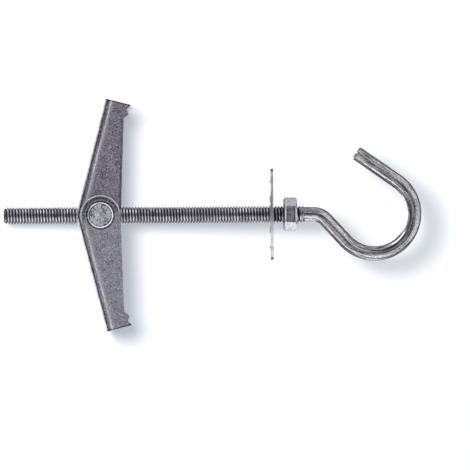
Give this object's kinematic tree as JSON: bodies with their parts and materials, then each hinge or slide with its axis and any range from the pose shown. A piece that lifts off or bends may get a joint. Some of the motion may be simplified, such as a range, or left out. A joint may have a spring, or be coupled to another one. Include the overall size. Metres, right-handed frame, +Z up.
{
  "type": "spring toggle bolt",
  "caption": "Spring toggle bolt with an open hook, a hex nut and a washer. Its sprung wings fold to pass a hole and open behind a hollow wall.",
  "frame": {"origin": "on the ground, under the middle of the whole part's length and width", "axes": "+X along the bolt towards the hook, +Y towards the left wing and the hook's tip, +Z up. The bolt's own axis rises 5.8 degrees towards the hook"},
  "size_m": [0.0978, 0.0548, 0.0213],
  "materials": {
    "hook_bolt": "bright zinc plating over rolled thread and drawn wire",
    "hex_nut": "bright zinc plating",
    "washer": "bright zinc plating, smooth pressed sheet",
    "trunnion_nut": "bright zinc plating with fine scratches on the peened heads",
    "left_wing": "zinc plating with a fine dark and light grain",
    "right_wing": "zinc plating with a fine dark and light grain",
    "wing_spring": "bare drawn spring wire"
  },
  "bodies": {
    "bolt": {"hook_bolt": "hook_bolt"},
    "nut": {"hex_nut": "hex_nut"},
    "washer": {"washer": "washer"},
    "trunnion": {"trunnion_nut": "trunnion_nut", "wing_spring": "wing_spring"},
    "left_wing": {"left_wing": "left_wing"},
    "right_wing": {"right_wing": "right_wing"}
  },
  "joints": [
    {"name": "nut_travel", "type": "slide", "parent": "bolt", "child": "nut", "axis": [-0.9949, 0, -0.1013], "range_m": [-0.0018, 0.02]},
    {"name": "washer_slide", "type": "slide", "parent": "nut", "child": "washer", "axis": [-0.9949, 0, -0.1013], "range_m": [-0.00235, 0.01]},
    {"name": "toggle_travel", "type": "slide", "parent": "bolt", "child": "trunnion", "axis": [-0.9949, 0, -0.1013], "range_m": [-0.03, 0.019]},
    {"name": "left_fold", "type": "hinge", "parent": "trunnion", "child": "left_wing", "pos_m": [-0.0261, 0, 0.00627], "axis": [0.1013, 0, -0.9949], "range_deg": [0, 75], "stiffness_Nm_per_rad": 0.0175, "springref_deg": -57.3, "deforming": ["wing_spring"]},
    {"name": "right_fold", "type": "hinge", "parent": "trunnion", "child": "right_wing", "pos_m": [-0.0261, 0, 0.00627], "axis": [-0.1013, 0, 0.9949], "range_deg": [0, 75], "stiffness_Nm_per_rad": 0.0175, "springref_deg": -57.3, "deforming": ["wing_spring"]}
  ]
}
